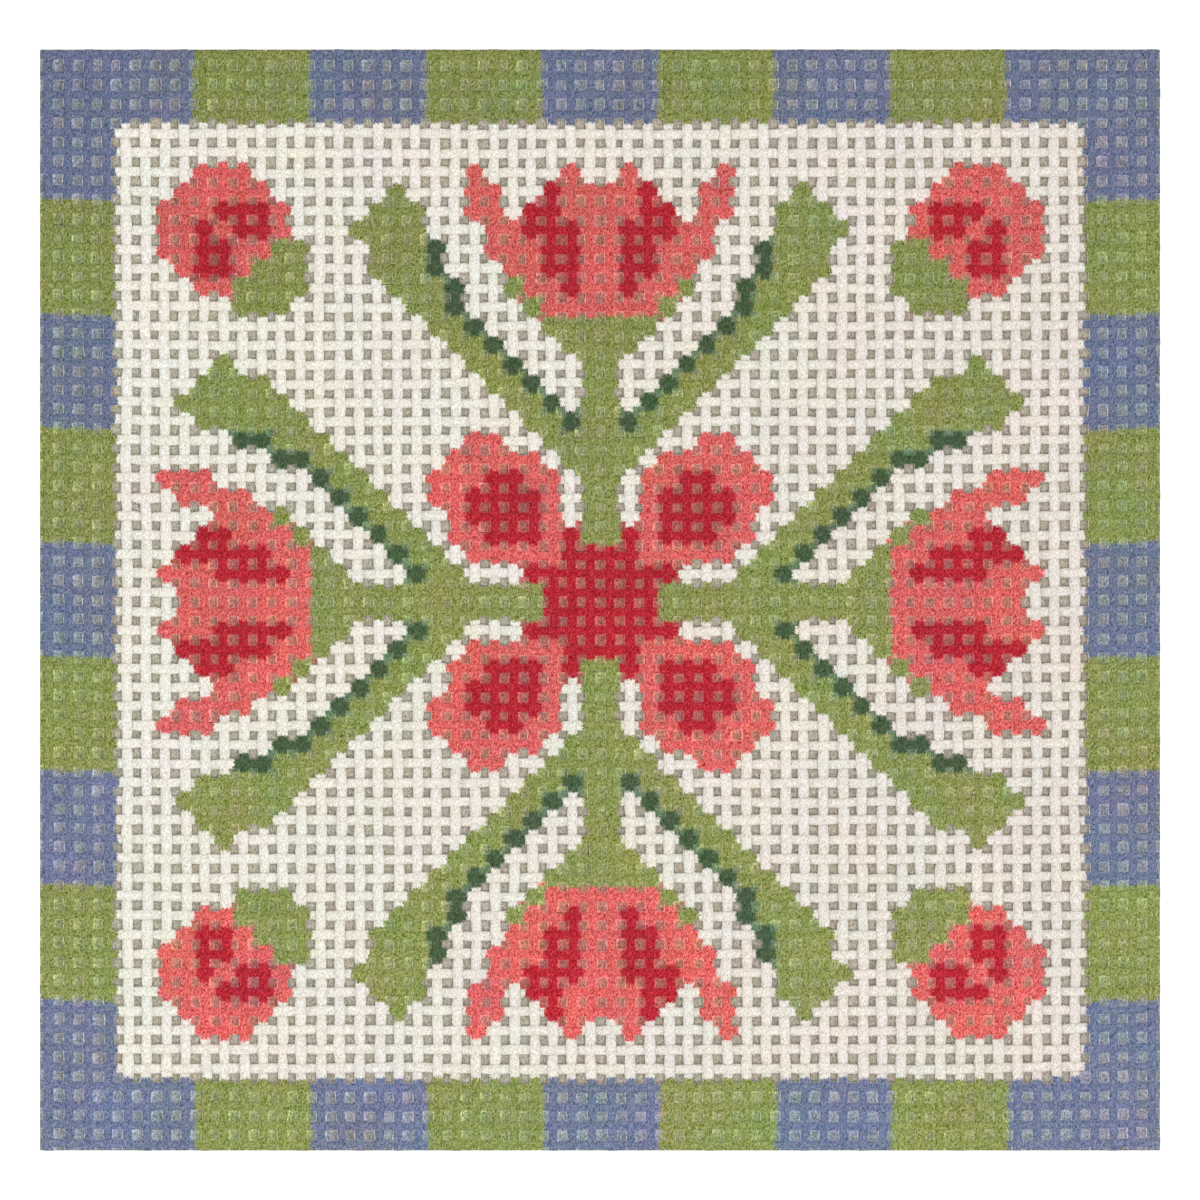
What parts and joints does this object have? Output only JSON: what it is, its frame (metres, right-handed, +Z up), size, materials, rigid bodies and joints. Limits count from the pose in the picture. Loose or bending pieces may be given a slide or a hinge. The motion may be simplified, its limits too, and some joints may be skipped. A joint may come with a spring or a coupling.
{
  "type": "needlepoint canvas panel",
  "caption": "Flat square of stiff open-weave cotton canvas, cut to size and hand-painted with a block border and a floral motif, for counted needlepoint stitching.",
  "frame": {"origin": "on the surface the panel lies on, under the middle of its cut outline", "axes": "+X across the warp threads to the right of the design, +Y to the top of the design, +Z up out of the painted side"},
  "size_m": [0.1132, 0.1114, 0.001],
  "materials": {
    "canvas": "sized single-thread cotton canvas, matt, with matt acrylic paint on its upper side"
  },
  "bodies": {
    "root": {"canvas": "canvas"}
  },
  "joints": []
}
